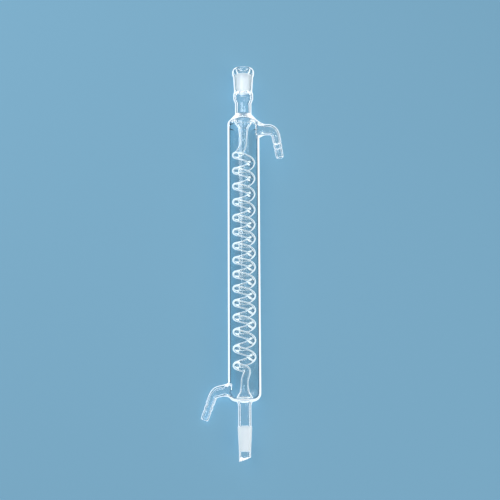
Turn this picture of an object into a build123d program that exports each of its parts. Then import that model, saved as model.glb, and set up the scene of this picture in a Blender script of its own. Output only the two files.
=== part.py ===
from build123d import *
from math import asin, atan2, cos, pi, radians, sin, sqrt, tan
import os

# Coil condenser in borosilicate glass, blown and fused into one piece.
# Vapour goes in at the ground socket, down the coiled inner tube and out at the ground cone.
# Cooling water fills the jacket round the coil, in and out through the two hose arms.
#
# The condenser lies on its side. +Y runs along the tube towards the socket and +Z is up.
# It rests on the jacket and on the tip of its lower hose arm, on the plane z = 0.
# Millimetres.

# Ground joints, size 15/25: largest diameter over length, with a taper of 1 in 10
joint_diameter = 15.0
joint_length = 25.0
joint_taper = 0.1

# Outlet end, from the drip tip up to the jacket
tip_step = 0.15
tip_wall = 1.3
tip_length = 10.7
tip_slant = 21.0
stem_diameter = 13.5
stem_length = 26.8
stem_foot_diameter = 15.1
stem_foot_height = 3.0

# Water jacket, with a round lower shoulder and a sloping upper one
jacket_diameter = 34.5
jacket_wall = 1.9
jacket_length = 309.0
lower_shoulder_radius = 8.4
upper_shoulder_height = 7.6
upper_shoulder_rounding = 1.6
upper_seal_diameter = 20.8
upper_seal_height = 1.5

# Neck, with a bulge under the ground socket
neck_diameter = 17.7
neck_wall = 1.9
neck_length = 26.4
bulge_diameter = 21.5
bulge_wall = 1.9
bulge_length = 5.5
bulge_slope_length = 5.0
socket_foot_diameter = 19.7
socket_foot_slope = 1.5
socket_head_diameter = 21.6
rim_diameter = 23.8
rim_height = 9.4
rim_slope_height = 2.8
rim_edge_diameter = 20.6
mouth_height = 2.1
mouth_diameter = 17.0

# Coiled part of the inner tube, with turns set wider at both ends
coil_diameter = 25.0
coil_tube_diameter = 8.0
coil_tube_wall = 1.0
upper_turns = 4
upper_pitch = 17.3
middle_turns = 8
lower_turns = 2
lower_pitch = 17.75
coil_depth = 43.8
upper_lead_height = 13.3
upper_lead_turn = 0.06
lower_lead_height = 13.0
lower_lead_turn = 0.25
coil_foot_height = 19.8625
lead_bend = 6.0

# Funnels between the coil and the ring seals at the ends of the jacket
funnel_wall = 1.3
funnel_tip_diameter = 8.6
funnel_tip_bore = 6.4
upper_funnel_diameter = 19.6
upper_funnel_mouth = 3.0
upper_funnel_slope = 5.0
upper_throat_diameter = 10.8
lower_funnel_diameter = 17.0
lower_funnel_mouth = 2.0
lower_funnel_slope = 5.0
lower_throat_diameter = 9.0

# Hose arms: the wide root on the jacket, the bent tube and the ribbed hose end
arm_tube_diameter = 9.2
arm_bore_diameter = 5.0
arm_root_diameter = 15.6
arm_root_bore_diameter = 11.6
arm_root_length = 8.0
root_overlap = 1.0
hose_tip_diameter = 8.0
hose_rib_diameter = 8.8
hose_groove_diameter = 7.3
hose_groove_width = 1.6
hose_rib_length = 5.9
hose_tip_length = 10.3

# Upper arm, on the +X side
upper_arm_depth = 16.3
upper_arm_slope = 3.8
upper_arm_run = 1.0565
upper_arm_bend = 8.5
upper_hose_angle = 9.6
upper_hose_length = 31.9

# Lower arm, on the -X side
lower_arm_height = 12.1
lower_arm_slope = -11.7
lower_arm_run = 1.2240
lower_arm_bend = 10.0
lower_hose_angle = 19.5
lower_hose_length = 30.3

# Bent tubes are straight runs with flat sides, and roundings are conical bands
runs_per_turn = 11
runs_per_lead = 4
tube_sides = 8
bore_sides = 6
runs_per_bend = 5
arm_sides = 12
arm_bore_sides = 8
bands_per_rounding = 2

# Radii
joint_large_radius = joint_diameter / 2
joint_small_radius = joint_large_radius - joint_length * joint_taper / 2
tip_radius = joint_small_radius - tip_step
stem_radius = stem_diameter / 2
stem_foot_radius = stem_foot_diameter / 2
jacket_radius = jacket_diameter / 2
jacket_bore_radius = jacket_radius - jacket_wall
upper_seal_radius = upper_seal_diameter / 2
neck_radius = neck_diameter / 2
bulge_radius = bulge_diameter / 2
socket_foot_radius = socket_foot_diameter / 2
socket_head_radius = socket_head_diameter / 2
rim_radius = rim_diameter / 2
rim_edge_radius = rim_edge_diameter / 2
coil_tube_radius = coil_tube_diameter / 2
coil_bore_radius = coil_tube_radius - coil_tube_wall
coil_radius = coil_diameter / 2 - coil_tube_radius
funnel_tip_radius = funnel_tip_diameter / 2
funnel_bore_radius = funnel_tip_bore / 2
upper_funnel_radius = upper_funnel_diameter / 2
upper_throat_radius = upper_throat_diameter / 2
lower_funnel_radius = lower_funnel_diameter / 2
lower_throat_radius = lower_throat_diameter / 2
arm_tube_radius = arm_tube_diameter / 2
arm_bore_radius = arm_bore_diameter / 2
arm_root_radius = arm_root_diameter / 2
arm_root_bore_radius = arm_root_bore_diameter / 2
hose_tip_radius = hose_tip_diameter / 2
rib_radius = hose_rib_diameter / 2
groove_radius = hose_groove_diameter / 2
groove_half = hose_groove_width / 2

# The middle turns of the coil share the height that the jacket leaves them
coil_end_heights = upper_turns * upper_pitch + (lower_turns + lower_lead_turn) * lower_pitch
coil_lead_heights = coil_depth + lower_lead_height + coil_foot_height
middle_pitch = (jacket_length - coil_end_heights - coil_lead_heights) / middle_turns

# Heights along the tube, from the lowest point of the drip tip
cone_base = tip_length
cone_top = cone_base + joint_length
jacket_base = cone_top + stem_length
jacket_top = jacket_base + jacket_length
jacket_shoulder = jacket_top - upper_shoulder_height
water_base = jacket_base + jacket_wall
water_top = jacket_top - 2 * jacket_wall
socket_base = jacket_top + neck_length
ground_top = socket_base + joint_length
rim_top = ground_top + mouth_height
rim_base = rim_top - rim_height
bulge_base = socket_base - socket_foot_slope - bulge_length



def corner_distance(run, bend, slope, hose_angle):
    """Distance from the jacket to the corner that an arm's bend rounds off."""
    return arm_root_length + run + bend * tan(radians(90 + slope - hose_angle) / 2)


upper_corner_distance = corner_distance(upper_arm_run, upper_arm_bend, upper_arm_slope, upper_hose_angle)
lower_corner_distance = corner_distance(lower_arm_run, lower_arm_bend, lower_arm_slope, lower_hose_angle)

# The jacket lies on the floor, rolled until the tip of the lower hose end touches down too
lower_arm_reach = jacket_radius + lower_corner_distance * cos(radians(lower_arm_slope))
lower_hose_reach = lower_arm_reach + lower_hose_length * sin(radians(lower_hose_angle))
roll = asin((jacket_radius - hose_tip_radius) / lower_hose_reach)
arms_plane = Plane(
    origin=(0, 0, jacket_radius),
    x_dir=(cos(roll), 0, sin(roll)),
    z_dir=(-sin(roll), 0, cos(roll)),
)
glass_axis = Axis(arms_plane.origin, arms_plane.y_dir)


def turned_outline(corners):
    """Half outline of a turned form, closed along its axis. Each corner is a radius and a height."""
    Polyline(*corners, close=True)


def rounded_corner(radius, height, rounding):
    """Corners of a few flat bands round the outer edge of a flat end that faces down."""
    angles = [pi / 2 * band / bands_per_rounding for band in range(bands_per_rounding + 1)]
    centre = Vector(radius - rounding, height + rounding)
    return [(centre.X + rounding * sin(angle), centre.Y - rounding * cos(angle)) for angle in angles]


def in_arms_plane(*points):
    """Points given across, along and out of the arms' plane, as they lie on the floor."""
    return [arms_plane.from_local_coords(point) for point in points]


def plane_along(start, end):
    """Plane flat in the arms' plane, with its origin at start and its y axis towards end."""
    direction = (end - start).normalized()
    across = arms_plane.x_dir * direction.Y - arms_plane.y_dir * direction.X
    return Plane(arms_plane.from_local_coords(start), x_dir=across, z_dir=arms_plane.z_dir)


# Glass body before it is hollowed: drip tip, ground cone, stem, jacket, neck and socket
shoulder_lean = atan2(jacket_radius - upper_seal_radius, upper_shoulder_height)
shoulder_cut = upper_shoulder_rounding * tan(shoulder_lean / 2)
body_corners = [
    (0, 0),
    (tip_radius, 0),
    (tip_radius, cone_base),
    (joint_small_radius, cone_base),
    (joint_large_radius, cone_top),
    (stem_radius, cone_top + joint_large_radius - stem_radius),
    (stem_radius, jacket_base - stem_foot_height),
    (stem_foot_radius, jacket_base),
    *rounded_corner(jacket_radius, jacket_base, lower_shoulder_radius),
    (jacket_radius, jacket_shoulder - shoulder_cut),
    (jacket_radius - shoulder_cut * sin(shoulder_lean), jacket_shoulder + shoulder_cut * cos(shoulder_lean)),
    (upper_seal_radius, jacket_top),
    (neck_radius, jacket_top + upper_seal_height),
    (neck_radius, bulge_base - bulge_slope_length),
    (bulge_radius, bulge_base),
    (bulge_radius, socket_base - socket_foot_slope),
    (socket_foot_radius, socket_base + socket_foot_slope),
    (socket_head_radius, rim_base),
    (rim_radius, rim_base + rim_slope_height),
    (rim_radius, rim_top - rim_slope_height),
    (rim_edge_radius, rim_top),
    (0, rim_top),
]

# Water space round the coil
water_shoulder = jacket_shoulder - jacket_wall * tan(shoulder_lean / 2)
water_top_radius = jacket_bore_radius - (water_top - water_shoulder) * tan(shoulder_lean)
water_corners = [
    (0, water_base),
    *rounded_corner(jacket_bore_radius, water_base, lower_shoulder_radius - jacket_wall),
    (jacket_bore_radius, water_shoulder),
    (water_top_radius, water_top),
    (0, water_top),
]


def coil_drop(turns):
    """Depth below the start of the coil after this many turns."""
    in_upper = min(turns, upper_turns)
    in_middle = min(max(turns - upper_turns, 0), middle_turns)
    in_lower = max(turns - upper_turns - middle_turns, 0)
    return in_upper * upper_pitch + in_middle * middle_pitch + in_lower * lower_pitch


def coil_point(turns):
    """Point of the coil's centre line. The coil is left-handed and starts on the -X side."""
    angle = 2 * pi * turns
    height = jacket_top - coil_depth - coil_drop(turns)
    return Vector(-coil_radius * cos(angle), height, coil_radius * sin(angle))


def coil_direction(turns, pitch):
    """Direction of the coil's centre line, down along the tube."""
    angle = 2 * pi * turns
    round_trip = 2 * pi * coil_radius
    return Vector(round_trip * sin(angle), -pitch, round_trip * cos(angle)).normalized()


def mitred_rings(route, radius, sides, across, end_direction):
    """Corners of a flat-sided tube where its straight runs meet, from one end to the other.

    The tube has the section of a circle of the given radius. Its first end lies along across
    and along the plane of the arms, and its last end is square to end_direction.
    """
    corner_radius = radius * sqrt(2 * pi / (sides * sin(2 * pi / sides)))
    angles = [2 * pi * side / sides for side in range(sides)]
    spokes = [across * cos(angle) + arms_plane.z_dir * sin(angle) for angle in angles]
    rings = [[route[0] + spoke * corner_radius for spoke in spokes]]
    runs = [(end - start).normalized() for start, end in zip(route, route[1:])]
    mitres = [before + after for before, after in zip(runs, runs[1:])] + [end_direction]
    for run, mitre, point in zip(runs, mitres, route[1:]):
        reaches = [(point - corner).dot(mitre) / run.dot(mitre) for corner in rings[-1]]
        rings.append([corner + run * reach for corner, reach in zip(rings[-1], reaches)])
    return rings


def flat_sides(rings):
    """Flat faces of a tube between its rings of corners."""
    faces = []
    for near, far in zip(rings, rings[1:]):
        for side in range(len(near)):
            corners = [near[side], near[side - 1], far[side - 1], far[side]]
            faces.append(Face(Wire.make_polygon(corners)))
    return faces


def flat_sided_bar(route, radius, sides, across, end_direction):
    """Solid bar with flat sides and flat ends along a route of straight runs."""
    rings = mitred_rings(route, radius, sides, across, end_direction)
    ends = [Face(Wire.make_polygon(rings[end])) for end in (0, -1)]
    return Solid(Shell(flat_sides(rings) + ends))


# Centre line of the coiled tube: out from the axis, round the turns and back to the axis
coil_first = -upper_lead_turn
coil_last = upper_turns + middle_turns + lower_turns + lower_lead_turn
coil_run_count = round((coil_last - coil_first) * runs_per_turn)
coil_run = (coil_last - coil_first) / coil_run_count
coil_top = coil_point(coil_first).Y + upper_lead_height
coil_foot = coil_point(coil_last).Y - lower_lead_height
upper_lead = Bezier(
    (0, coil_top, 0),
    (0, coil_top - lead_bend, 0),
    coil_point(coil_first) - coil_direction(coil_first, upper_pitch) * lead_bend,
    coil_point(coil_first),
)
lower_lead = Bezier(
    coil_point(coil_last),
    coil_point(coil_last) + coil_direction(coil_last, lower_pitch) * lead_bend,
    (0, coil_foot + lead_bend, 0),
    (0, coil_foot, 0),
)
coil_route = (
    [upper_lead @ (run / runs_per_lead) for run in range(runs_per_lead)]
    + [coil_point(coil_first + run * coil_run) for run in range(coil_run_count)]
    + [lower_lead @ (run / runs_per_lead) for run in range(runs_per_lead + 1)]
)

# The coiled tube, closed off between its outside and its bore at both ends
coil_route = in_arms_plane(*coil_route)
coil_ends = (arms_plane.x_dir, glass_axis.direction)
tube_rings = mitred_rings(coil_route, coil_tube_radius, tube_sides, *coil_ends)
bore_rings = mitred_rings(coil_route, coil_bore_radius, bore_sides, *coil_ends)
tube_ends = [
    Face(Wire.make_polygon(tube_rings[end]), [Wire.make_polygon(bore_rings[end])]) for end in (0, -1)
]
coil = Solid(Shell(flat_sides(tube_rings) + flat_sides(bore_rings) + tube_ends))

# Funnels, from the ring seals to the ends of the coil
lower_seal = jacket_base + jacket_wall / 2
upper_funnel_base = water_top - upper_funnel_mouth
upper_throat_top = upper_funnel_base - upper_funnel_slope
lower_funnel_top = water_base + lower_funnel_mouth
lower_throat_base = lower_funnel_top + lower_funnel_slope
upper_funnel_corners = [
    (0, water_top),
    (upper_funnel_radius, water_top),
    (upper_funnel_radius, upper_funnel_base),
    (upper_throat_radius, upper_throat_top),
    (funnel_tip_radius, coil_top),
    (0, coil_top),
]
lower_funnel_corners = [
    (0, lower_seal),
    (lower_funnel_radius, lower_seal),
    (lower_funnel_radius, lower_funnel_top),
    (lower_throat_radius, lower_throat_base),
    (lower_throat_radius, coil_foot),
    (0, coil_foot),
]

# Vapour path above the coil: upper funnel, neck, bulge and ground socket
upper_bore_corners = [
    (0, coil_top),
    (funnel_bore_radius, coil_top),
    (upper_throat_radius - funnel_wall, upper_throat_top),
    (upper_funnel_radius - funnel_wall, upper_funnel_base),
    (upper_funnel_radius - funnel_wall, jacket_top - jacket_wall),
    (neck_radius - neck_wall, jacket_top + upper_seal_height),
    (neck_radius - neck_wall, bulge_base - bulge_slope_length),
    (bulge_radius - bulge_wall, bulge_base),
    (bulge_radius - bulge_wall, socket_base - socket_foot_slope),
    (joint_small_radius, socket_base),
    (joint_large_radius, ground_top),
    (mouth_diameter / 2, rim_top),
    (0, rim_top),
]

# Vapour path below the coil: lower funnel, stem, ground cone and drip tip
lower_bore_corners = [
    (0, -tip_length),
    (tip_radius - tip_wall, -tip_length),
    (tip_radius - tip_wall, jacket_base - stem_foot_height),
    (lower_funnel_radius - funnel_wall, water_base),
    (lower_funnel_radius - funnel_wall, lower_funnel_top),
    (lower_throat_radius - funnel_wall, lower_throat_base),
    (funnel_bore_radius, coil_foot),
    (0, coil_foot),
]

# Hose arms: where each leaves the jacket, where it turns and where it ends
upper_root = Vector(jacket_radius, jacket_top - upper_arm_depth)
upper_out = Vector(cos(radians(upper_arm_slope)), sin(radians(upper_arm_slope)))
upper_corner = upper_root + upper_out * upper_corner_distance
upper_lean = Vector(sin(radians(upper_hose_angle)), -cos(radians(upper_hose_angle)))
upper_tip = upper_corner + upper_lean * upper_hose_length
lower_root = Vector(-jacket_radius, jacket_base + lower_arm_height)
lower_out = Vector(-cos(radians(lower_arm_slope)), sin(radians(lower_arm_slope)))
lower_corner = lower_root + lower_out * lower_corner_distance
lower_lean = Vector(-sin(radians(lower_hose_angle)), -cos(radians(lower_hose_angle)))
lower_tip = lower_corner + lower_lean * lower_hose_length
arms = [
    (upper_root, upper_corner, upper_tip, upper_arm_bend),
    (lower_root, lower_corner, lower_tip, lower_arm_bend),
]


def arm_bar(root, corner, tip, bend, radius, sides, tip_gap):
    """Bar along an arm from the end of its root, round its bend, to tip_gap short of its tip."""
    start = root + (corner - root).normalized() * arm_root_length
    end = tip + (corner - tip).normalized() * tip_gap
    path = FilletPolyline(start, corner, end, radius=bend)
    turn = path.edges().filter_by(GeomType.CIRCLE)[0]
    route = [path @ 0] + [turn @ (run / runs_per_bend) for run in range(runs_per_bend + 1)] + [path @ 1]
    route = in_arms_plane(*route)
    across = plane_along(start, corner).x_dir
    return flat_sided_bar(route, radius, sides, across, route[-1] - route[-2])


# The root reaches this far in through the jacket wall, and the wall is cut away inside
root_depth = jacket_radius - sqrt(jacket_bore_radius**2 - arm_root_radius**2) + root_overlap
root_corners = [
    (0, -root_depth),
    (arm_root_radius, -root_depth),
    (arm_root_radius, 0),
    (arm_tube_radius, arm_root_length),
    (0, arm_root_length),
]
root_bore_corners = [
    (0, -root_depth - root_overlap),
    (arm_root_bore_radius, -root_depth - root_overlap),
    (arm_root_bore_radius, 0),
    (arm_bore_radius, arm_root_length),
    (0, arm_root_length),
]
hose_top = hose_tip_length + hose_rib_length + hose_groove_width
hose_corners = [
    (0, 0),
    (hose_tip_radius, 0),
    (rib_radius, hose_tip_length - groove_half),
    (groove_radius, hose_tip_length),
    (rib_radius, hose_tip_length + groove_half),
    (rib_radius, hose_tip_length + hose_rib_length - groove_half),
    (groove_radius, hose_tip_length + hose_rib_length),
    (arm_tube_radius, hose_top),
    (0, hose_top),
]

arm_bars = [arm_bar(*arm, arm_tube_radius, arm_sides, hose_top) for arm in arms]
arm_bores = [arm_bar(*arm, arm_bore_radius, arm_bore_sides, -root_overlap) for arm in arms]

with BuildPart() as glass:
    with BuildSketch(arms_plane):
        with BuildLine():
            turned_outline(body_corners)
        make_face()
    revolve(axis=glass_axis)

    # The drip tip is ground off at a slant, longest on the -X side
    tip_point = arms_plane.from_local_coords(Vector(-tip_radius, 0, 0))
    slant = radians(tip_slant)
    tip_up = arms_plane.y_dir * cos(slant) - arms_plane.x_dir * sin(slant)
    split(bisect_by=Plane(tip_point, z_dir=tip_up), keep=Keep.TOP)

    # Hose arms
    for root, corner, tip, bend in arms:
        root_plane = plane_along(root, corner)
        with BuildSketch(root_plane):
            with BuildLine():
                turned_outline(root_corners)
            make_face()
        revolve(axis=Axis(root_plane.origin, root_plane.y_dir))

        hose_plane = plane_along(tip, corner)
        with BuildSketch(hose_plane):
            with BuildLine():
                turned_outline(hose_corners)
            make_face()
        revolve(axis=Axis(hose_plane.origin, hose_plane.y_dir))

    add(arm_bars)

    # Water space
    with BuildSketch(arms_plane):
        with BuildLine():
            turned_outline(water_corners)
        make_face()
    revolve(axis=glass_axis, mode=Mode.SUBTRACT)

    # Bores of the hose arms
    for root, corner, tip, bend in arms:
        root_plane = plane_along(root, corner)
        with BuildSketch(root_plane):
            with BuildLine():
                turned_outline(root_bore_corners)
            make_face()
        revolve(axis=Axis(root_plane.origin, root_plane.y_dir), mode=Mode.SUBTRACT)

    add(arm_bores, mode=Mode.SUBTRACT)

    # Funnels and coil
    for funnel_corners in (upper_funnel_corners, lower_funnel_corners):
        with BuildSketch(arms_plane):
            with BuildLine():
                turned_outline(funnel_corners)
            make_face()
        revolve(axis=glass_axis)
    for bore_corners in (upper_bore_corners, lower_bore_corners):
        with BuildSketch(arms_plane):
            with BuildLine():
                turned_outline(bore_corners)
            make_face()
        revolve(axis=glass_axis, mode=Mode.SUBTRACT)
    add(coil, clean=False)

# The origin is on the floor, under the middle of the condenser
middle = glass.part.bounding_box().center()
with BuildPart() as coil_condenser:
    add(glass.part.moved(Location((-middle.X, -middle.Y, 0))))

coil_condenser.part.label = "coil_condenser"
os.makedirs("parts", exist_ok=True)
export_step(coil_condenser.part, "parts/coil_condenser.step")
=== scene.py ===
"""Looks of the coil condenser: one blown piece of clear glass with ground joints, lying on a pale floor."""

import logging
import math
from dataclasses import dataclass
from enum import Enum

import bmesh
import bpy
from mathutils import Matrix, Vector


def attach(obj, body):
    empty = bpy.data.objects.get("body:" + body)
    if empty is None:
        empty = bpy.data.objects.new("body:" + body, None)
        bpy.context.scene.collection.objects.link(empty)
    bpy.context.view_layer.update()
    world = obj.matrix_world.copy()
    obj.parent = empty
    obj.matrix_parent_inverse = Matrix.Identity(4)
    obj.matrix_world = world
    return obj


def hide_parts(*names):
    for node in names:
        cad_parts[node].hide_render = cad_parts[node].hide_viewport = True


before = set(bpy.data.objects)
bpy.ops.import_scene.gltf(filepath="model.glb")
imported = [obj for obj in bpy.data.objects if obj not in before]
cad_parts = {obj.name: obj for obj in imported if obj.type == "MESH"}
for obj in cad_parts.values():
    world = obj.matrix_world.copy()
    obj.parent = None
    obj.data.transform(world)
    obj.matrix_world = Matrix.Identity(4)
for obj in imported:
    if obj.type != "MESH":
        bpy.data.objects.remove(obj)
LOG = logging.getLogger("coil_condenser")
MM = 0.001
Ring = list[int]
Corner = tuple[float, float, float]
Station = tuple[float, float]
Bands = tuple[tuple[float, float, "Finish"], ...]
Window = tuple[list[int], list[Vector]]
Openings = tuple[tuple[float, float, int], ...]
Tree = bpy.types.NodeTree
Socket = bpy.types.NodeSocket


class Finish(Enum):
    """Surface finishes of the glass, as material slots of its mesh.

    CLEAR is blown glass, GROUND the matt joints, WALL and WALL_INSIDE the two sides of the plain jacket wall,
    and INSIDE the rest of the water space's wall.
    """

    CLEAR = 0
    GROUND = 1
    WALL = 2
    WALL_INSIDE = 3
    INSIDE = 4


def linear(hex_colour: str) -> tuple[float, float, float, float]:
    """Turns an sRGB hex colour into a linear one.

    Args:
        hex_colour: Six hex digits after a hash sign.

    Returns:
        Linear red, green, blue and an alpha of 1.
    """
    channels = [int(hex_colour[place : place + 2], 16) / 255 for place in (1, 3, 5)]
    light = [c / 12.92 if c <= 0.04045 else ((c + 0.055) / 1.055) ** 2.4 for c in channels]
    return (light[0], light[1], light[2], 1.0)


def add_node(
    tree: Tree,
    kind: str,
    settings: dict | None = None,
    inputs: dict | None = None,
) -> bpy.types.Node:
    """Adds a shader node with its settings and links.

    Args:
        tree: Node tree that takes the node.
        kind: Blender's name for the node type.
        settings: Attributes to set on the node.
        inputs: Socket values, or output sockets to link from, by socket name or number.

    Returns:
        The new node.
    """
    node = tree.nodes.new(kind)
    for name, value in (settings or {}).items():
        setattr(node, name, value)
    for name, value in (inputs or {}).items():
        if isinstance(value, Socket):
            tree.links.new(value, node.inputs[name])
        else:
            node.inputs[name].default_value = value
    return node


def swung(direction: Vector, angle: float) -> Vector:
    """Turns a flat vector by an angle."""
    cos, sin = math.cos(angle), math.sin(angle)
    return Vector((direction.x * cos - direction.y * sin, direction.x * sin + direction.y * cos))


def between(start: Station, end: Station, share: float) -> Station:
    """The point a share of the way from one point of an outline to another."""
    return (start[0] + (end[0] - start[0]) * share, start[1] + (end[1] - start[1]) * share)


@dataclass(frozen=True)
class Placement:
    """Where the glass lies: its own across, along and out directions in the row frame, in mm."""

    axis_x: float = 1.177
    axis_z: float = 17.25
    half_length: float = 212.5
    roll: float = 0.321638

    def place(self, across: float, along: float, out: float) -> Vector:
        """Turns a point of the glass into the row frame.

        Args:
            across: Distance from the glass's axis towards the upper arm, in mm.
            along: Height from the drip tip towards the socket, in mm.
            out: Distance from the glass's axis towards the camera, in mm.

        Returns:
            The point in metres.
        """
        x = self.axis_x + across * math.cos(self.roll) - out * math.sin(self.roll)
        z = self.axis_z + across * math.sin(self.roll) + out * math.cos(self.roll)
        return Vector((x, along - self.half_length, z)) * MM


class GlassSkin:
    """Rings of points and the faces between them, gathered into one closed mesh."""

    def __init__(self, placement: Placement) -> None:
        """Starts an empty skin that lies as placement says."""
        self.placement = placement
        self.points: list[Vector] = []
        self.faces: list[tuple[int, ...]] = []
        self.finishes: list[int] = []

    def ring(self, points: list[Vector]) -> Ring:
        """Adds the points of a ring, given in the glass's own directions, and returns their numbers."""
        first = len(self.points)
        self.points += [self.placement.place(*point) for point in points]
        return list(range(first, len(self.points)))

    def face(self, corners: tuple[int, ...], finish: Finish) -> None:
        """Adds one face with its finish."""
        self.faces.append(corners)
        self.finishes.append(finish.value)

    def join(self, near: Ring, far: Ring, finish: Finish = Finish.CLEAR) -> None:
        """Closes the band between two rings, of which one may have a multiple of the other's points.

        Args:
            near: Numbers of the points of the first ring.
            far: Numbers of the points of the second ring.
            finish: Finish of the band.
        """
        fine, coarse = (near, far) if len(near) >= len(far) else (far, near)
        ratio = len(fine) // len(coarse)
        for place, corner in enumerate(coarse):
            following = coarse[(place + 1) % len(coarse)]
            start = place * ratio
            if ratio == 1:
                self.face((fine[start], fine[(start + 1) % len(fine)], following, corner), finish)
                continue
            for step in range(ratio):
                self.face((fine[start + step], fine[(start + step + 1) % len(fine)], corner), finish)
            self.face((fine[(start + ratio) % len(fine)], following, corner), finish)

    def chain(self, rings: list[Ring], finishes: list[Finish] | None = None) -> None:
        """Closes the bands between rings in a row."""
        for place, (near, far) in enumerate(zip(rings, rings[1:])):
            self.join(near, far, finishes[place] if finishes else Finish.CLEAR)

    def to_object(self, name: str, materials: list[bpy.types.Material]) -> bpy.types.Object:
        """Makes the mesh object.

        Args:
            name: Name of the object.
            materials: One material for each finish.

        Returns:
            The object, smooth all over, with its faces turned outwards.
        """
        mesh = bpy.data.meshes.new(name)
        mesh.from_pydata([tuple(point) for point in self.points], [], self.faces)
        for material in materials:
            mesh.materials.append(material)
        mesh.polygons.foreach_set("material_index", self.finishes)
        mesh.polygons.foreach_set("use_smooth", [True] * len(self.faces))
        bm = bmesh.new()
        bm.from_mesh(mesh)
        bmesh.ops.recalc_face_normals(bm, faces=bm.faces)
        open_edges = sum(1 for edge in bm.edges if not edge.is_manifold)
        volume = bm.calc_volume(signed=True)
        bm.to_mesh(mesh)
        bm.free()
        mesh.update()
        LOG.info("%s: %d faces, %d open edges, %.1f cm3", name, len(self.faces), open_edges, volume * 1e6)
        obj = bpy.data.objects.new(name, mesh)
        bpy.context.scene.collection.objects.link(obj)
        return obj


def rounded_outline(corners: list[Corner], arc_step: float = 0.16) -> list[Station]:
    """Rounds the corners of a half outline.

    Args:
        corners: Radius, height and rounding of each corner, in mm.
        arc_step: Largest turn between two points of a rounding, in radians.

    Returns:
        Radius and height of each point of the outline.
    """
    outline = [(corners[0][0], corners[0][1])]
    for before, here, after in zip(corners, corners[1:], corners[2:]):
        corner = Vector(here[:2])
        back = (Vector(before[:2]) - corner).normalized()
        ahead = (Vector(after[:2]) - corner).normalized()
        turn = math.pi - back.angle(ahead)
        if here[2] <= 0 or turn < 0.01:
            outline.append((corner.x, corner.y))
            continue
        reach = here[2] * math.tan(turn / 2)
        centre = corner + (back + ahead).normalized() * (here[2] / math.cos(turn / 2))
        start = corner + back * reach - centre
        finish = corner + ahead * reach - centre
        steps = max(2, math.ceil(turn / arc_step))
        swing = start.angle_signed(finish)
        for step in range(steps + 1):
            spoke = swung(start, -swing * step / steps)
            outline.append((centre.x + spoke.x, centre.y + spoke.y))
    outline.append((corners[-1][0], corners[-1][1]))
    return outline


def resampled(outline: list[Station], cells: int) -> list[Station]:
    """Divides an outline into cells of equal length.

    Args:
        outline: Radius and height of each point.
        cells: Number of cells.

    Returns:
        The points between which the cells lie.
    """
    lengths = [0.0]
    for start, end in zip(outline, outline[1:]):
        lengths.append(lengths[-1] + math.dist(start, end))
    points = []
    for cell in range(cells + 1):
        wanted = lengths[-1] * cell / cells
        place = max(i for i in range(len(lengths) - 1) if lengths[i] <= wanted + 1e-9)
        share = (wanted - lengths[place]) / (lengths[place + 1] - lengths[place])
        points.append(between(outline[place], outline[place + 1], share))
    return points


def cut_at(outline: list[Station], height: float) -> tuple[list[Station], list[Station]]:
    """Cuts a rising outline in two.

    Args:
        outline: Radius and height of each point, from the lowest up.
        height: Where to cut, in mm.

    Returns:
        The lower and the upper part, which share the point of the cut.
    """
    for place, (start, end) in enumerate(zip(outline, outline[1:])):
        if start[1] <= height <= end[1] and end[1] > start[1]:
            share = (height - start[1]) / (end[1] - start[1])
            middle = (start[0] + (end[0] - start[0]) * share, height)
            return outline[: place + 1] + [middle], [middle] + outline[place + 1 :]
    raise ValueError(f"the outline does not pass height {height}")


def marked(outline: list[Station], heights: tuple[float, ...]) -> list[Station]:
    """Adds points to a rising outline at the given heights."""
    for height in heights:
        below, above = cut_at(outline, height)
        outline = below + above[1:]
    return outline


@dataclass(frozen=True)
class TurnedSizes:
    """Sizes of the turned forms of the glass, in mm, with heights from the drip tip."""

    cone_base: float = 10.7
    cone_top: float = 35.7
    jacket_base: float = 62.5
    jacket_top: float = 371.5
    socket_base: float = 397.9
    ground_top: float = 422.9
    frost_top: float = 418.6
    rim_top: float = 425.0
    jacket_radius: float = 17.25
    jacket_wall: float = 1.9
    tip_slant: float = math.radians(21.0)
    tip_whole_from: float = 6.1
    tip_radius: float = 6.1
    tip_bore: float = 4.8
    joint_radius: float = 7.5
    stem_radius: float = 6.75
    stem_bore: float = 5.0
    lower_seal_radius: float = 10.6
    upper_seal_radius: float = 12.4
    funnel_radius: float = 9.8
    funnel_bore: float = 8.5
    neck_radius: float = 8.85
    neck_bore: float = 6.95
    socket_radius: float = 10.75
    bulge_bore: float = 8.8
    rim_radius: float = 11.9
    rim_mouth: float = 9.6
    around: int = 96
    wall_step: float = 9.0
    wall_above_foot: float = 11.0
    wall_below_top: float = 11.5
    coil_joint: float = 1.0
    window_cells: int = 16


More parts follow.
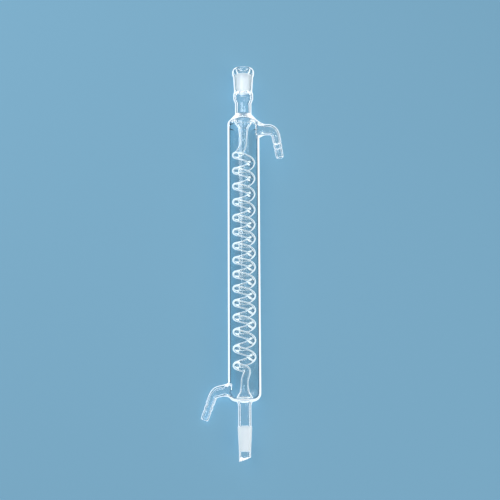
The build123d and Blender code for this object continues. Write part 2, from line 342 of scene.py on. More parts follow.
class TurnedSkins:
    """The outer skin and the wall of the water space, each with a window where a hose arm leaves."""

    def __init__(self, sizes: TurnedSizes, skin: GlassSkin) -> None:
        """Keeps the sizes and the skin that the rings go to."""
        self.sizes = sizes
        self.skin = skin

    def ring(self, radius: float, height: float, slant: float = 0.0) -> Ring:
        """Adds a ring round the axis, cut at a slant across if asked."""
        points = []
        for place in range(self.sizes.around):
            angle = 2 * math.pi * place / self.sizes.around
            across = radius * math.cos(angle)
            rise = (across + self.sizes.tip_radius) * math.tan(slant)
            points.append((across, height + rise, radius * math.sin(angle)))
        return self.skin.ring(points)

    def rings(self, outline: list[Station], first: Ring | None) -> list[Ring]:
        """Adds the rings of an outline, the first of which may be there already."""
        if first is None:
            return [self.ring(*station) for station in outline]
        return [first] + [self.ring(*station) for station in outline[1:]]

    @staticmethod
    def finishes(outline: list[Station], bands: Bands) -> list[Finish]:
        """Finish of the glass between each two points of an outline.

        Args:
            outline: Radius and height of each point.
            bands: Lower height, upper height and finish of the bands that aren't plain clear glass.

        Returns:
            One finish for each stretch of the outline.
        """
        found = []
        for start, end in zip(outline, outline[1:]):
            middle = (start[1] + end[1]) / 2
            here = [finish for low, high, finish in bands if low < middle < high]
            found.append(here[0] if here else Finish.CLEAR)
        return found

    def turned(self, outline: list[Station], bands: Bands = (), first: Ring | None = None) -> list[Ring]:
        """Turns an outline round the axis.

        Args:
            outline: Radius and height of each ring.
            bands: Bands of other finishes, as above.
            first: The ring of the outline's first point, if it is there already.

        Returns:
            The rings, with the bands between them closed.
        """
        rings = self.rings(outline, first)
        self.skin.chain(rings, self.finishes(outline, bands))
        return rings

    def window(self, outline: list[Station], column: int, bands: Bands, first: Ring) -> tuple[Ring, Window]:
        """Turns an outline round the axis and leaves out a window.

        Args:
            outline: Radius and height of each ring across the window.
            column: Number of the point round the axis at the window's middle.
            bands: Bands of other finishes.
            first: The ring of the outline's first point.

        Returns:
            The last ring, and the points round the window with the skin's outward direction at each.
        """
        count, half = self.sizes.around, self.sizes.window_cells // 2
        rings = self.rings(outline, first)
        left = {(column + step) % count for step in range(-half, half)}
        for near, far, finish in zip(rings, rings[1:], self.finishes(outline, bands)):
            for place in range(count):
                if place not in left:
                    following = (place + 1) % count
                    self.skin.face((near[place], near[following], far[following], far[place]), finish)
        last = len(rings) - 1
        loop = [(0, step) for step in range(-half, half)]
        loop += [(row, half) for row in range(last)]
        loop += [(last, step) for step in range(half, -half, -1)]
        loop += [(row, -half) for row in range(last, 0, -1)]
        border, normals = [], []
        for row, step in loop:
            place = (column + step) % count
            border.append(rings[row][place])
            before, after = outline[max(row - 1, 0)], outline[min(row + 1, last)]
            slope = math.atan2(before[0] - after[0], after[1] - before[1])
            angle = 2 * math.pi * place / count
            level = math.cos(slope)
            normals.append(Vector((math.cos(angle) * level, math.sin(slope), math.sin(angle) * level)))
        return rings[-1], (border, normals)

    def wall_with_windows(
        self, outline: list[Station], windows: Openings, bands: Bands
    ) -> tuple[Ring, Ring, list[Window]]:
        """Turns a rising outline with its windows.

        Args:
            outline: Radius and height of each point, from the lowest up.
            windows: Lower height, upper height and middle column of each window, from the lowest up.
            bands: Bands of other finishes, as above.

        Returns:
            The first ring, the last ring, and the border and directions of each window.
        """
        borders = []
        lowest = self.ring(*outline[0])
        last = lowest
        for low, high, column in windows:
            below, outline = cut_at(outline, low)
            across, outline = cut_at(outline, high)
            last = self.turned(self.stepped(below), bands, last)[-1]
            cells = resampled(across, self.sizes.window_cells)
            last, border = self.window(cells, column, bands, last)
            borders.append(border)
        last = self.turned(self.stepped(outline), bands, last)[-1]
        return lowest, last, borders

    def stepped(self, outline: list[Station]) -> list[Station]:
        """Divides long straight stretches of an outline.

        Args:
            outline: Radius and height of each point.

        Returns:
            The outline with no stretch longer than the step of the wall.
        """
        points = [outline[0]]
        for start, end in zip(outline, outline[1:]):
            steps = max(1, math.ceil(math.dist(start, end) / self.sizes.wall_step))
            points += [between(start, end, step / steps) for step in range(1, steps + 1)]
        return points


@dataclass(frozen=True)
class CoilSizes:
    """Sizes of the coiled tube and its leads, in mm."""

    radius: float = 8.5
    tube_radius: float = 4.0
    bore_radius: float = 3.0
    first_height: float = 327.7
    turns: tuple[tuple[int, float], ...] = ((4, 17.3), (8, 15.4), (2, 17.75))
    upper_lead_turn: float = 0.06
    lower_lead_turn: float = 0.25
    upper_lead_height: float = 13.3
    lower_lead_height: float = 13.0
    lead_bend: float = 6.0
    rings_per_turn: int = 48
    rings_per_lead: int = 14
    around: int = 32


class CoiledTube:
    """The coiled inner tube: its centre line and the rings of its outside and bore."""

    def __init__(self, sizes: CoilSizes) -> None:
        """Works out the centre line."""
        self.sizes = sizes
        last = sum(count for count, _ in sizes.turns) + sizes.lower_lead_turn
        first = -sizes.upper_lead_turn
        self.top = self.point(first)[1] + sizes.upper_lead_height
        self.foot = self.point(last)[1] - sizes.lower_lead_height
        count = round((last - first) * sizes.rings_per_turn)
        turns = [first + (last - first) * step / count for step in range(count + 1)]
        coil = [self.point(turn) for turn in turns]
        bend = sizes.lead_bend
        upper = (
            Vector((0, self.top, 0)),
            Vector((0, self.top - bend, 0)),
            coil[0] - (coil[1] - coil[0]).normalized() * bend,
            coil[0],
        )
        lower = (
            coil[-1],
            coil[-1] + (coil[-1] - coil[-2]).normalized() * bend,
            Vector((0, self.foot + bend, 0)),
            Vector((0, self.foot, 0)),
        )
        self.line = self.lead(upper)[:-1] + coil + self.lead(lower)[1:]
        self.spokes = self.carried_spokes()

    def point(self, turns: float) -> Vector:
        """Point of the coil's centre line after this many turns, down from the first on the left."""
        drop, left = 0.0, turns
        for count, pitch in self.sizes.turns[:-1]:
            drop += min(left, count) * pitch
            left = max(left - count, 0.0)
        drop += left * self.sizes.turns[-1][1]
        angle = 2 * math.pi * turns
        radius, height = self.sizes.radius, self.sizes.first_height - drop
        return Vector((-radius * math.cos(angle), height, radius * math.sin(angle)))

    def lead(self, ends: tuple[Vector, Vector, Vector, Vector]) -> list[Vector]:
        """Points along the smooth curve of a lead."""
        points = []
        for step in range(self.sizes.rings_per_lead + 1):
            t = step / self.sizes.rings_per_lead
            weights = ((1 - t) ** 3, 3 * t * (1 - t) ** 2, 3 * t * t * (1 - t), t**3)
            points.append(sum((end * weight for end, weight in zip(ends, weights)), Vector((0, 0, 0))))
        return points

    def carried_spokes(self) -> list[tuple[Vector, Vector]]:
        """Two directions square to the centre line at each point, carried along it with no twist."""
        spokes = []
        across = Vector((1, 0, 0))
        for place in range(len(self.line)):
            before = self.line[max(place - 1, 0)]
            after = self.line[min(place + 1, len(self.line) - 1)]
            along = (after - before).normalized()
            across = (across - along * across.dot(along)).normalized()
            spokes.append((across, along.cross(across)))
        return spokes

    def rings(self, skin: GlassSkin, radius: float) -> list[Ring]:
        """Adds the rings of one radius along the whole line."""
        rings = []
        count = self.sizes.around
        for centre, (across, other) in zip(self.line, self.spokes):
            angles = [2 * math.pi * place / count for place in range(count)]
            rings.append(
                skin.ring([centre + (across * math.cos(a) + other * math.sin(a)) * radius for a in angles])
            )
        return rings


def turned_to_meet(skin: GlassSkin, ring: Ring, other: Ring) -> Ring:
    """Renumbers a ring so that its points run the same way as another's and start beside its first.

    Args:
        skin: The skin that holds both rings.
        ring: The ring to renumber.
        other: The ring it meets.

    Returns:
        The same points in their new order.
    """
    target = skin.points[other[0]]
    nearest = min(range(len(ring)), key=lambda place: (skin.points[ring[place]] - target).length)
    ahead = ring[nearest:] + ring[:nearest]
    back = [ahead[0]] + ahead[:0:-1]
    quarter = skin.points[other[len(other) // 4]]
    reach = len(ring) // 4
    return min((ahead, back), key=lambda order: (skin.points[order[reach]] - quarter).length)


@dataclass(frozen=True)
class ArmSizes:
    """Sizes of one hose arm, in mm, across and along the glass."""

    side: int
    root: Station
    corner: Station
    hose_angle: float
    hose_length: float
    bend: float
    pull_near_shoulder: float = 0.9
    pull_far_side: float = 0.25
    flare_reach: float = 7.6
    flare_radius: float = 5.9
    flare_bore: float = 4.0
    tube_radius: float = 4.6
    bore_radius: float = 2.5
    flare_steps: int = 12
    bend_steps: int = 16
    hose: tuple[Station, ...] = (
        (19.4, 4.6), (18.0, 4.6), (17.4, 4.5), (16.9, 4.15), (16.5, 3.8), (16.2, 3.7),
        (15.9, 3.8), (15.5, 4.15), (15.1, 4.4), (14.4, 4.5), (12.2, 4.5), (11.4, 4.4),
        (11.0, 4.15), (10.6, 3.8), (10.3, 3.7), (10.0, 3.8), (9.6, 4.1), (9.1, 4.3),
        (6.0, 4.2), (2.0, 4.05), (0.9, 3.98), (0.35, 3.8), (0.06, 3.5), (0.0, 3.25),
    )
    mouth: tuple[Station, ...] = (
        (0.06, 2.95), (0.4, 2.7), (1.2, 2.6), (3.0, 2.65), (6.0, 2.75), (8.0, 2.5),
        (9.4, 2.05), (10.3, 1.8), (11.2, 2.05), (12.4, 2.6), (13.6, 2.65), (14.8, 2.2),
        (15.6, 1.85), (16.2, 1.75), (17.0, 1.95), (18.0, 2.35), (19.4, 2.5),
    )


class HoseArm:
    """A hose arm: flared from the jacket, bent down and drawn to a ribbed hose end, with its bore."""

    def __init__(self, sizes: ArmSizes) -> None:
        """Works out the arm's line: straight from the root, round the bend and straight to the tip."""
        self.sizes = sizes
        root, corner = Vector(sizes.root), Vector(sizes.corner)
        self.out = (corner - root).normalized()
        self.down = Vector((sizes.side * math.sin(sizes.hose_angle), -math.cos(sizes.hose_angle)))
        turn = self.out.angle(self.down)
        reach = sizes.bend * math.tan(turn / 2)
        self.turn = turn
        self.bend_start = corner - self.out * reach
        self.bend_end = corner + self.down * reach
        self.tip = corner + self.down * sizes.hose_length
        inward = (self.down - self.out * self.down.dot(self.out)).normalized()
        self.centre = self.bend_start + inward * sizes.bend
        self.flare_end = root + self.out * sizes.flare_reach

    def loop_angles(self, skin: GlassSkin, border: list[int]) -> list[float]:
        """Works out where a window's border lies round the arm's line.

        Args:
            skin: The skin that holds the border.
            border: Points round the window.

        Returns:
            The angle of each point round the line.
        """
        angles = []
        for number in border:
            point = self.unplaced(skin, number)
            offset = Vector((point.x, point.y)) - Vector(self.sizes.root)
            angles.append(math.atan2(point.z, self.upward(self.out).dot(offset)))
        return angles

    @staticmethod
    def unplaced(skin: GlassSkin, number: int) -> Vector:
        """A point of the skin back in the glass's own directions, in mm."""
        place = skin.placement
        point = skin.points[number] / MM
        x, z = point.x - place.axis_x, point.z - place.axis_z
        cos, sin = math.cos(place.roll), math.sin(place.roll)
        return Vector((x * cos + z * sin, point.y + place.half_length, -x * sin + z * cos))

    def upward(self, direction: Vector) -> Vector:
        """Direction in the arm's plane, square to the given one and away from the bend's centre."""
        return Vector((-direction.y, direction.x)) * self.sizes.side

    def circle(self, centre: Vector, direction: Vector, radius: float, angles: list[float]) -> list[Vector]:
        """Points round the arm's line at one place."""
        up = self.upward(direction)
        spokes = [(radius * math.cos(angle), radius * math.sin(angle)) for angle in angles]
        return [Vector((centre.x + up.x * high, centre.y + up.y * high, out)) for high, out in spokes]

    def flare(self, skin: GlassSkin, window: Window, angles: list[float], radius: float) -> list[Ring]:
        """Draws the skin round a window out into the arm.

        Args:
            skin: The skin that holds the window's border.
            window: Border of the window and the skin's outward direction at each point.
            angles: Angle of each of them round the arm's line.
            radius: Radius of the arm where the flare ends.

        Returns:
            The rings from the border to the end of the flare.
        """
        sizes = self.sizes
        border, normals = window
        ends = self.circle(self.flare_end, self.out, radius, angles)
        starts = [self.unplaced(skin, number) for number in border]
        root = Vector((*sizes.root, 0))
        out = Vector((*self.out, 0))
        leaving = []
        for start, normal, end in zip(starts, normals, ends):
            inward = root - start
            inward = (inward - normal * inward.dot(normal)).normalized()
            towards_shoulder = 0.5 + 0.5 * sizes.side * (start.y - root.y) / max((start - root).length, 0.1)
            pull = sizes.pull_far_side + (sizes.pull_near_shoulder - sizes.pull_far_side) * towards_shoulder
            leaving.append(inward * (end - start).length * pull)
        rings = [border]
        for step in range(1, sizes.flare_steps + 1):
            t = step / sizes.flare_steps
            weights = (2 * t**3 - 3 * t**2 + 1, t**3 - 2 * t**2 + t, 3 * t**2 - 2 * t**3, t**3 - t**2)
            points = []
            for start, pull, end in zip(starts, leaving, ends):
                arriving = out * (end - start).length
                points.append(
                    start * weights[0] + pull * weights[1] + end * weights[2] + arriving * weights[3]
                )
            rings.append(skin.ring(points))
        return rings

    def bent(self, skin: GlassSkin, angles: list[float], radii: tuple[float, float]) -> list[Ring]:
        """Draws the arm from the end of the flare round the bend.

        Args:
            skin: The skin that the rings go to.
            angles: Angle of each point round the arm's line.
            radii: Radius of the arm where the bend starts and where it ends, in mm.

        Returns:
            The rings round the bend.
        """
        sizes = self.sizes
        spoke = self.bend_start - self.centre
        rings = []
        for step in range(1, sizes.bend_steps + 1):
            share = step / sizes.bend_steps
            ease = share * share * (3 - 2 * share)
            radius = radii[0] + (radii[1] - radii[0]) * ease
            swing = -sizes.side * self.turn * share
            centre = self.centre + swung(spoke, swing)
            rings.append(skin.ring(self.circle(centre, swung(self.out, swing), radius, angles)))
        return rings

    def drawn(
        self,
        skin: GlassSkin,
        window: Window,
        radii: tuple[float, float],
        stations: tuple[Station, ...],
    ) -> list[Ring]:
        """Draws one side of the arm's wall, from its window to the tip.

        Args:
            skin: The skin that the rings go to.
            window: Border of the window and the skin's outward direction at each point.
            radii: Radius at the end of the flare and at the end of the bend, in mm.
            stations: Distance from the tip and radius of each ring of the hose end.

        Returns:
            The rings from the border to the tip.
        """
        angles = self.loop_angles(skin, window[0])
        rings = self.flare(skin, window, angles, radii[0]) + self.bent(skin, angles, radii)
        for distance, radius in stations:
            centre = self.tip - self.down * distance
            rings.append(skin.ring(self.circle(centre, self.down, radius, angles)))
        return rings

    def build(self, skin: GlassSkin, outside: Window, inside: Window) -> None:
        """Adds the arm between the window in the outer skin and the one in the water space.

        Args:
            skin: The skin that the arm goes to.
            outside: Border of the outer window and the skin's direction at each point.
            inside: The same for the window in the water space.
        """
        sizes = self.sizes
        outer = self.drawn(skin, outside, (sizes.flare_radius, sizes.tube_radius), sizes.hose)
        inner = self.drawn(skin, inside, (sizes.flare_bore, sizes.bore_radius), sizes.mouth[::-1])
        skin.chain(outer + inner[::-1])


def started(name: str) -> tuple[bpy.types.Material, Tree]:
    """Starts a material with an empty node tree."""
    made = bpy.data.materials.new(name)
    made.use_nodes = True
    made.node_tree.nodes.clear()
    return made, made.node_tree


def steepness(tree: Tree) -> Socket:
    """Adds the value that grows from 0 to 1 as glass is seen more edge on."""
    return add_node(tree, "ShaderNodeLayerWeight", inputs={"Blend": 0.5}).outputs["Facing"]


def grown(
    tree: Tree, facing: Socket, low: float, high: float, most: float = 1.0
) -> Socket:
    """Adds a share that grows smoothly from nothing at the low facing value to its most at the high one."""
    inputs = {"Value": facing, "From Min": low, "From Max": high, "To Max": most}
    return add_node(
        tree, "ShaderNodeMapRange", {"interpolation_type": "SMOOTHSTEP"}, inputs
    ).outputs["Result"]


def mixed(
    tree: Tree,
    share: Socket | float,
    first: Socket,
    second: Socket,
) -> Socket:
    """Mixes two shaders by the share of the second."""
    return add_node(tree, "ShaderNodeMixShader", inputs={0: share, 1: first, 2: second}).outputs["Shader"]


def uneven(
    tree: Tree, size_mm: float, height_mm: float, detail: float, strength: float
) -> Socket:
    """Adds a fine unevenness of the surface.

    Args:
        tree: Node tree that takes the nodes.
        size_mm: Size of the pattern on the real glass.
        height_mm: Height of its bumps.
        detail: Number of finer layers in it.
        strength: Share of it that shows.

    Returns:
        The socket of the surface's direction.
    """
    place = add_node(tree, "ShaderNodeTexCoord")
    inputs = {"Vector": place.outputs["Object"], "Scale": 1 / (size_mm * MM), "Detail": detail}
    noise = add_node(tree, "ShaderNodeTexNoise", inputs=inputs)
    inputs = {"Height": noise.outputs["Fac"], "Distance": height_mm * MM, "Strength": strength}
    return add_node(tree, "ShaderNodeBump", inputs=inputs).outputs["Normal"]


def refracting(
    tree: Tree, colour: Socket | tuple, roughness: float, refraction: float, normal: Socket
) -> Socket:
    """Adds the shader of glass that light goes through."""
    inputs = {
        "Base Color": colour,
        "Roughness": roughness,
        "IOR": refraction,
        "Transmission Weight": 1.0,
        "Normal": normal,
    }
    return add_node(tree, "ShaderNodeBsdfPrincipled", inputs=inputs).outputs["BSDF"]


def painted_glow_shader(tree: Tree, colour: str, roughness: float, glow: float, refraction: float = 1.5) -> Socket:
    """Adds the shader of a surface that sends back light and glows a little by itself, painted light though
    it is no lamp.
    """
    inputs = {
        "Base Color": linear(colour),
        "Roughness": roughness,
        "IOR": refraction,
        "Emission Color": linear(colour),
        "Emission Strength": glow,
    }
    return add_node(tree, "ShaderNodeBsdfPrincipled", inputs=inputs).outputs["BSDF"]


def put_out(tree: Tree, surface: Socket, shade: str) -> None:
    """Ends a material: the lamps' light goes through it in its shade's colour, so its shadow stays faint."""
    path = add_node(tree, "ShaderNodeLightPath")
    through = add_node(tree, "ShaderNodeBsdfTransparent", inputs={"Color": linear(shade)})
    lit = mixed(tree, path.outputs["Is Shadow Ray"], surface, through.outputs["BSDF"])
    add_node(tree, "ShaderNodeOutputMaterial", inputs={"Surface": lit})


@dataclass(frozen=True)
class PaintedEdgeLightAndShade:
    """Painted highlight and painted shade of glass seen edge on: a white edge that glows a little, with a
    thin painted dark line inside it, placed by facing values.

    The painted dark line darkens from line_start to start, and the painted white grows from start to full, up
    to its share.
    """

    line_start: float = 0.34
    start: float = 0.46
    full: float = 0.6
    share: float = 0.95
    # Colours of the painted dark line and of the painted white highlight
    line: str = "#7C97A8"
    colour: str = "#FFFFFF"
    refraction: float = 1.473
    roughness: float = 0.25
    glow: float = 0.6

    def with_painted_shade_line(self, tree: Tree, facing: Socket, tint: str) -> Socket:
        """Adds a tint that darkens into the painted dark line, a painted shade.

        Args:
            tree: Node tree that takes the nodes.
            facing: Facing value of the surface.
            tint: Colour of the glass seen straight on, in sRGB hex.

        Returns:
            The colour socket.
        """
        # Painted shade: the tint darkens by how edge on the surface is seen, not by any lamp
        share = grown(tree, facing, self.line_start, self.start)
        # The two colours are the mix node's sockets 6 and 7, and the mixed one is its output 2
        inputs = {"Factor": share, 6: linear(tint), 7: linear(self.line)}
        return add_node(tree, "ShaderNodeMix", {"data_type": "RGBA"}, inputs).outputs[2]

    def over(self, tree: Tree, facing: Socket, body: Socket) -> Socket:
        """Lays the painted white edge, a painted highlight that glows a little, over the shader of the glass.

        Args:
            tree: Node tree that takes the nodes.
            facing: Facing value of the surface.
            body: Shader of the glass itself.

        Returns:
            The shader of both.
        """
        # Painted highlight: white that glows a little, placed by facing value, not by any lamp
        white = painted_glow_shader(tree, self.colour, self.roughness, self.glow, self.refraction)
        return mixed(tree, grown(tree, facing, self.start, self.full, self.share), body, white)


@dataclass(frozen=True)
class ClearGlass:
    """Clear borosilicate glass, blown and fire-polished."""

    name: str = "flame_worked_borosilicate_glass"
    edge: PaintedEdgeLightAndShade = PaintedEdgeLightAndShade()
    tint: str = "#FBFEFF"
    shade: str = "#EFF3F6"
    refraction: float = 1.473
    ripple_mm: float = 24.0
    ripple_height_mm: float = 0.012

    def material(self) -> bpy.types.Material:
        """Builds the material.

        Returns:
            Smooth refracting glass, a little uneven from blowing, with painted white edge highlights and
            painted dark lines inside them.
        """
        made, tree = started(self.name)
        facing = steepness(tree)
        # Blown walls are never quite even: a slow ripple bends the reflections of the studio a little
        ripple = uneven(tree, self.ripple_mm, self.ripple_height_mm, 1.0, 1.0)
        # A thin painted dark line just inside the painted white edge stands for the dark of a room bent into
        # view
        tint = self.edge.with_painted_shade_line(tree, facing, self.tint)
        glass = refracting(tree, tint, 0.0, self.refraction, ripple)
        # Painted white along the edges, which glows a little, stands for a bright studio round the floor, and
        # draws the glass's outline
        put_out(tree, self.edge.over(tree, facing, glass), self.shade)
        return made


@dataclass(frozen=True)
class TubeWall:
    """Plain wall of drawn borosilicate tube, even enough to show what is behind it where it is."""

    name: str = "drawn_borosilicate_tube_wall"
    edge: PaintedEdgeLightAndShade = PaintedEdgeLightAndShade(0.44, 0.5, 0.6, 0.95, "#9FB3C1", refraction=1.5)
    tint: str = "#FAFEFF"
    shade: str = "#F3F7F9"
    face_gloss: float = 0.04
    gloss_power: float = 5.0
    gloss_roughness: float = 0.02

    def material(self) -> bpy.types.Material:
        """Builds the material.

        Returns:
            A clear wall with a mirror gloss that grows towards its edges, painted white edges and painted
            dark lines inside them.
        """
        made, tree = started(self.name)
        facing = steepness(tree)
        # A polished wall mirrors little straight on and nearly everything at its edges
        power = add_node(tree, "ShaderNodeMath", {"operation": "POWER"}, {0: facing, 1: self.gloss_power})
        inputs = {"Value": power.outputs["Value"], "To Min": self.face_gloss}
        gloss = add_node(tree, "ShaderNodeMapRange", inputs=inputs)
        # A painted dark line just inside the painted white edge
        tint = self.edge.with_painted_shade_line(tree, facing, self.tint)
        through = add_node(tree, "ShaderNodeBsdfTransparent", inputs={"Color": tint})
        mirror = add_node(tree, "ShaderNodeBsdfGlossy", inputs={"Roughness": self.gloss_roughness})
        wall = mixed(tree, gloss.outputs["Result"], through.outputs["BSDF"], mirror.outputs["BSDF"])
        # A crisp painted white line down each side, which glows a little, stands for a bright studio seen in
        # the edge of the wall
        put_out(tree, self.edge.over(tree, facing, wall), self.shade)
        return made


@dataclass(frozen=True)
class GroundGlass:
    """Borosilicate glass ground matt with fine grit, as on standard joints."""

    name: str = "ground_borosilicate_glass"
    tint: str = "#F4F8FA"
    shade: str = "#DADFE2"
    refraction: float = 1.473
    roughness: float = 0.42
    grain_mm: float = 0.16
    grain_height_mm: float = 0.03
    grain_strength: float = 0.6
    frost: float = 0.6
    haze_roughness: float = 0.6
    painted_haze_glow: float = 0.22

    def material(self) -> bpy.types.Material:
        """Builds the material.

        Returns:
            Frosted glass that lets light through as a white haze, which also glows a little as painted light.
        """
        made, tree = started(self.name)
        # The grit leaves pits a tenth or two of a millimetre apart, which scatter the light
        grain = uneven(tree, self.grain_mm, self.grain_height_mm, 2.0, self.grain_strength)
        rough = refracting(tree, linear(self.tint), self.roughness, self.refraction, grain)
        # Ground glass also sends light back from its surface, and a little painted light glowing from that
        # haze makes it look white beside the clear glass
        haze = painted_glow_shader(tree, self.tint, self.haze_roughness, self.painted_haze_glow)
        put_out(tree, mixed(tree, self.frost, rough, haze), self.shade)
        return made


@dataclass(frozen=True)
class Condenser:
    """The whole glass, put together from its turned skins, its coiled tube and its hose arms."""

    placement: Placement = Placement()
    sizes: TurnedSizes = TurnedSizes()
    coil: CoilSizes = CoilSizes()
    outer_windows: Openings = ((65.3, 81.6, 48), (347.4, 368.0, 0))
    inner_windows: Openings = ((66.6, 80.6, 48), (348.6, 364.6, 0))
    upper_arm: ArmSizes = ArmSizes(
        side=1,
        root=(TurnedSizes.jacket_radius, 356.4),
        corner=(33.95, 356.3),
        hose_angle=math.radians(9.6),
        hose_length=31.9,
        bend=8.5,
    )
    lower_arm: ArmSizes = ArmSizes(
        side=-1,
        root=(-TurnedSizes.jacket_radius, 74.6),
        corner=(-31.8, 71.6),
        hose_angle=math.radians(19.5),
        hose_length=30.3,
        bend=10.0,
    )

    def outer_outline(self) -> list[Station]:
        """Half outline of the outside, from the drip tip to the rim."""
        s = self.sizes
        return rounded_outline([
            (s.tip_radius, s.tip_whole_from, 0.0),
            (s.tip_radius, s.cone_base, 0.25),
            (6.3, s.cone_base + 0.15, 0.1),
            (s.joint_radius, s.cone_top, 0.35),
            (s.stem_radius, s.cone_top + 0.9, 0.4),
            (s.stem_radius, s.jacket_base - 4.0, 3.0),
            (8.3, s.jacket_base - 0.2, 1.2),
            (s.jacket_radius, s.jacket_base - 0.2, 8.4),
            (s.jacket_radius, s.jacket_top - 7.6, 3.0),
            (10.4, s.jacket_top, 0.9),
            (s.neck_radius, s.jacket_top + 1.9, 1.2),
            (s.neck_radius, s.socket_base - 12.0, 4.0),
            (s.socket_radius, s.socket_base - 7.0, 2.0),
            (s.socket_radius, s.socket_base - 1.5, 1.3),
            (9.85, s.socket_base + 1.5, 1.3),
            (10.8, s.rim_top - 9.4, 3.0),
            (s.rim_radius, s.rim_top - 6.4, 2.2),
            (s.rim_radius, s.rim_top - 2.6, 2.2),
            (10.6, s.rim_top - 0.2, 0.9),
            (s.rim_mouth, s.rim_top, 0.0),
        ])

    def upper_bore(self, coil_top: float) -> list[Station]:
        """Half outline of the vapour path from the rim down to the coil."""
        s = self.sizes
        return rounded_outline([
            (s.rim_mouth, s.rim_top, 0.0),
            (8.6, s.rim_top - 0.4, 0.5),
            (s.joint_radius, s.ground_top, 0.0),
            (7.24, s.frost_top, 0.0),
            (6.25, s.socket_base, 0.8),
            (s.bulge_bore, s.socket_base - 2.6, 1.2),
            (s.bulge_bore, s.socket_base - 7.0, 2.0),
            (s.neck_bore, s.socket_base - 12.0, 3.0),
            (s.neck_bore, s.jacket_top + 2.2, 2.0),
            (s.funnel_bore, s.jacket_top - 1.4, 1.2),
            (s.funnel_bore, s.jacket_top - 7.0, 3.0),
            (4.3, s.jacket_top - 13.0, 4.0),
            (self.coil.bore_radius, coil_top + 4.0, 12.0),
            (self.coil.bore_radius, coil_top + s.coil_joint, 0.0),
        ])

    def upper_funnel(self, coil_top: float) -> list[Station]:
        """Half outline of the outside of the upper funnel, down to the coil."""
        s = self.sizes
        return rounded_outline([
            (s.upper_seal_radius, s.jacket_top - 3.5, 0.0),
            (s.funnel_radius, s.jacket_top - 3.8, 0.8),
            (s.funnel_radius, s.jacket_top - 7.0, 2.5),
            (5.6, s.jacket_top - 13.0, 5.0),
            (self.coil.tube_radius, coil_top + 4.0, 12.0),
            (self.coil.tube_radius, coil_top + s.coil_joint, 0.0),
        ])

    def lower_funnel(self, coil_foot: float) -> list[Station]:
        """Half outline of the outside of the lower funnel, up from the foot of the jacket."""
        s = self.sizes
        base = s.jacket_base + s.jacket_wall
        return rounded_outline([
            (s.lower_seal_radius, base - 0.1, 0.0),
            (8.5, base, 0.8),
            (8.0, base + 2.6, 1.5),
            (5.1, base + 7.5, 5.0),
            (self.coil.tube_radius, coil_foot - 3.5, 12.0),
            (self.coil.tube_radius, coil_foot - s.coil_joint, 0.0),
        ])

    def lower_bore(self, coil_foot: float) -> list[Station]:
        """Half outline of the vapour path from the coil down to the drip tip."""
        s = self.sizes
        base = s.jacket_base + s.jacket_wall
        return rounded_outline([
            (self.coil.bore_radius, coil_foot - s.coil_joint, 0.0),
            (self.coil.bore_radius, coil_foot - 3.5, 12.0),
            (3.9, base + 7.5, 4.0),
            (6.9, base + 2.2, 2.0),
            (7.0, base - 1.5, 1.0),
            (s.stem_bore, s.jacket_base - 4.5, 3.0),
            (s.stem_bore, s.cone_top, 0.5),
            (s.tip_bore, s.cone_base, 0.5),
            (s.tip_bore, s.tip_whole_from, 0.0),
        ])

    def water_wall(self) -> list[Station]:
        """Half outline of the inside of the jacket, from its foot to its top."""
        s = self.sizes
        base = s.jacket_base + s.jacket_wall
        inner_radius = s.jacket_radius - s.jacket_wall
        return rounded_outline([
            (s.lower_seal_radius, base - 0.1, 0.0),
            (inner_radius, base, 6.4),
            (inner_radius, s.jacket_top - 8.5, 2.4),
            (s.upper_seal_radius, s.jacket_top - 3.5, 0.0),
        ])

    def build(self, materials: list[bpy.types.Material]) -> bpy.types.Object:
        """Makes the glass.

        Args:
            materials: One material for each finish.

        Returns:
            The glass as one closed mesh.
        """
        s = self.sizes
        skin = GlassSkin(self.placement)
        turned = TurnedSkins(s, skin)
        tube = CoiledTube(self.coil)
        LOG.info("coil from %.1f down to %.1f mm", tube.top, tube.foot)

        plain = (s.jacket_base + s.wall_above_foot, s.jacket_top - s.wall_below_top)
        cone = (s.cone_base + 0.1, s.cone_top, Finish.GROUND)
        foot, rim, outer_borders = turned.wall_with_windows(
            marked(self.outer_outline(), plain), self.outer_windows, (cone, (*plain, Finish.WALL))
        )
        socket = (s.socket_base, s.frost_top, Finish.GROUND)
        bore = turned.turned(self.upper_bore(tube.top), (socket,))
        skin.join(rim, bore[0])
        coil_bore = tube.rings(skin, self.coil.bore_radius)
        skin.join(bore[-1], turned_to_meet(skin, coil_bore[0], bore[-1]))
        skin.chain(coil_bore)
        outlet = turned.turned(self.lower_bore(tube.foot))
        skin.join(outlet[0], turned_to_meet(skin, coil_bore[-1], outlet[0]))
        tip_outside = turned.ring(s.tip_radius, 0.0, s.tip_slant)
        tip_inside = turned.ring(s.tip_bore, 0.0, s.tip_slant)
        skin.chain([foot, tip_outside, tip_inside, outlet[-1]])

        inner_bands = ((*plain, Finish.WALL_INSIDE), (0.0, s.rim_top, Finish.INSIDE))
        wall_foot, wall_top, inner_borders = turned.wall_with_windows(
            marked(self.water_wall(), plain), self.inner_windows, inner_bands
        )
        upper = turned.turned(self.upper_funnel(tube.top))
        lower = turned.turned(self.lower_funnel(tube.foot))
        coil_outside = tube.rings(skin, self.coil.tube_radius)
        skin.join(wall_top, upper[0])
        skin.join(wall_foot, lower[0])
        skin.join(upper[-1], turned_to_meet(skin, coil_outside[0], upper[-1]))
        skin.chain(coil_outside)
        skin.join(lower[-1], turned_to_meet(skin, coil_outside[-1], lower[-1]))

        for arm, outside, inside in zip((self.lower_arm, self.upper_arm), outer_borders, inner_borders):
            HoseArm(arm).build(skin, outside, inside)
        return skin.to_object("coil_condenser_glass", materials)


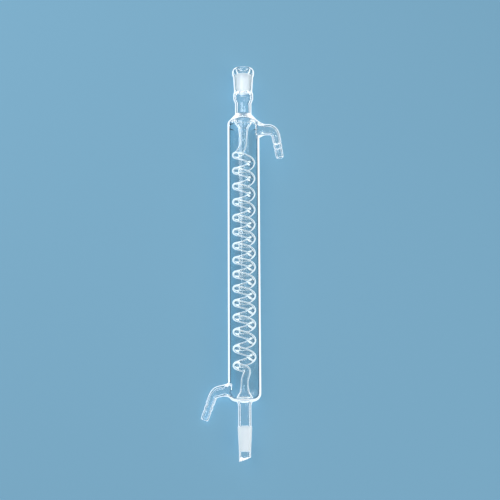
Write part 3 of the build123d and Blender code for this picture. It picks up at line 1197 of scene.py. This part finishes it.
@dataclass(frozen=True)
class Studio:
    """Pale floor, soft lamps and the camera."""

    floor_colour: str = "#8FC4E2"
    sky_colour: str = "#F2F7FA"
    sky_strength: float = 0.5
    floor_size: float = 60.0
    lens_mm: float = 104.0
    camera_distance: float = 1.5
    camera_height_mm: float = -102.1
    camera_turn: float = -0.006
    aim: Corner = (6.4, 223.2, 0.0)
    floor_roughness: float = 0.9
    floor_specular: float = 0.1
    softbox_size: float = 0.8
    lamp_aim: Corner = (0, 0, 0.02)
    key_place: Corner = (-0.95, 0.75, 1.2)
    key_watts: float = 7.5
    fill_place: Corner = (0.9, -0.5, 1.1)
    fill_watts: float = 3.0

    def floor(self) -> None:
        """Lays the plain pale floor."""
        half = self.floor_size / 2
        mesh = bpy.data.meshes.new("floor")
        corners = [(-half, -half, 0), (half, -half, 0), (half, half, 0), (-half, half, 0)]
        mesh.from_pydata(corners, [], [(0, 1, 2, 3)])
        made = bpy.data.materials.new("matt_pale_floor")
        made.use_nodes = True
        shader = made.node_tree.nodes["Principled BSDF"]
        shader.inputs["Base Color"].default_value = linear(self.floor_colour)
        shader.inputs["Roughness"].default_value = self.floor_roughness
        shader.inputs["Specular IOR Level"].default_value = self.floor_specular
        mesh.materials.append(made)
        obj = bpy.data.objects.new("floor", mesh)
        bpy.context.scene.collection.objects.link(obj)

    def sky(self) -> None:
        """Surrounds the scene with soft white light."""
        world = bpy.data.worlds.new("soft_studio")
        world.use_nodes = True
        background = world.node_tree.nodes["Background"]
        background.inputs["Color"].default_value = linear(self.sky_colour)
        background.inputs["Strength"].default_value = self.sky_strength
        bpy.context.scene.world = world

    def lamp(self, name: str, place: Vector, watts: float) -> None:
        """Adds a soft square lamp that points at the middle of the glass.

        Args:
            name: Name of the lamp.
            place: Where it hangs, in metres.
            watts: Its power.
        """
        data = bpy.data.lights.new(name, "AREA")
        data.shape = "RECTANGLE"
        data.size = data.size_y = self.softbox_size
        data.energy = watts
        lamp = bpy.data.objects.new(name, data)
        lamp.location = place
        lamp.rotation_euler = (Vector(self.lamp_aim) - place).to_track_quat("-Z", "Y").to_euler()
        bpy.context.scene.collection.objects.link(lamp)

    def camera(self, placement: Placement) -> None:
        """Sets the camera square to the plane of the arms, a little towards the drip tip."""
        spot = placement.place(0.0, self.camera_height_mm, self.camera_distance / MM)
        data = bpy.data.cameras.new("camera")
        data.lens = self.lens_mm
        camera = bpy.data.objects.new("camera", data)
        camera.location = spot
        back = (spot - placement.place(*self.aim)).normalized()
        right = Vector((0, 1, 0)).cross(back).normalized()
        up = back.cross(right)
        turned = Matrix((right, up, back)).transposed().to_4x4()
        camera.matrix_world = Matrix.Translation(spot) @ turned @ Matrix.Rotation(self.camera_turn, 4, "Z")
        bpy.context.scene.collection.objects.link(camera)
        bpy.context.scene.camera = camera

    def build(self, placement: Placement) -> None:
        """Makes the floor, the light and the camera."""
        self.floor()
        self.sky()
        self.lamp("key_softbox", Vector(self.key_place), self.key_watts)
        self.lamp("fill_softbox", Vector(self.fill_place), self.fill_watts)
        self.camera(placement)
        bpy.context.scene.view_settings.view_transform = "Standard"


def main() -> None:
    """Builds the glass and the studio."""
    logging.basicConfig(level=logging.INFO, format="%(name)s: %(message)s")
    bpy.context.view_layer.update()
    condenser = Condenser()
    # Weaker painted white edges and painted dark lines for the inside surfaces and the seals
    inner_painted_edge = PaintedEdgeLightAndShade(0.7, 0.78, 0.92, 0.4, "#9FB3C1", refraction=1.5)
    inside = TubeWall("drawn_borosilicate_tube_inside", inner_painted_edge)
    seals = ClearGlass("flame_worked_glass_inside", PaintedEdgeLightAndShade(0.5, 0.66, 0.9, 0.5))
    finishes = (ClearGlass(), GroundGlass(), TubeWall(), inside, seals)
    glass = condenser.build([finish.material() for finish in finishes])
    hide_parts("coil_condenser")
    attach(glass, "root")
    LOG.info("%s rides on the root body", glass.name)
    Studio().build(condenser.placement)
    LOG.info("studio set")


if __name__ == "__main__":
    main()
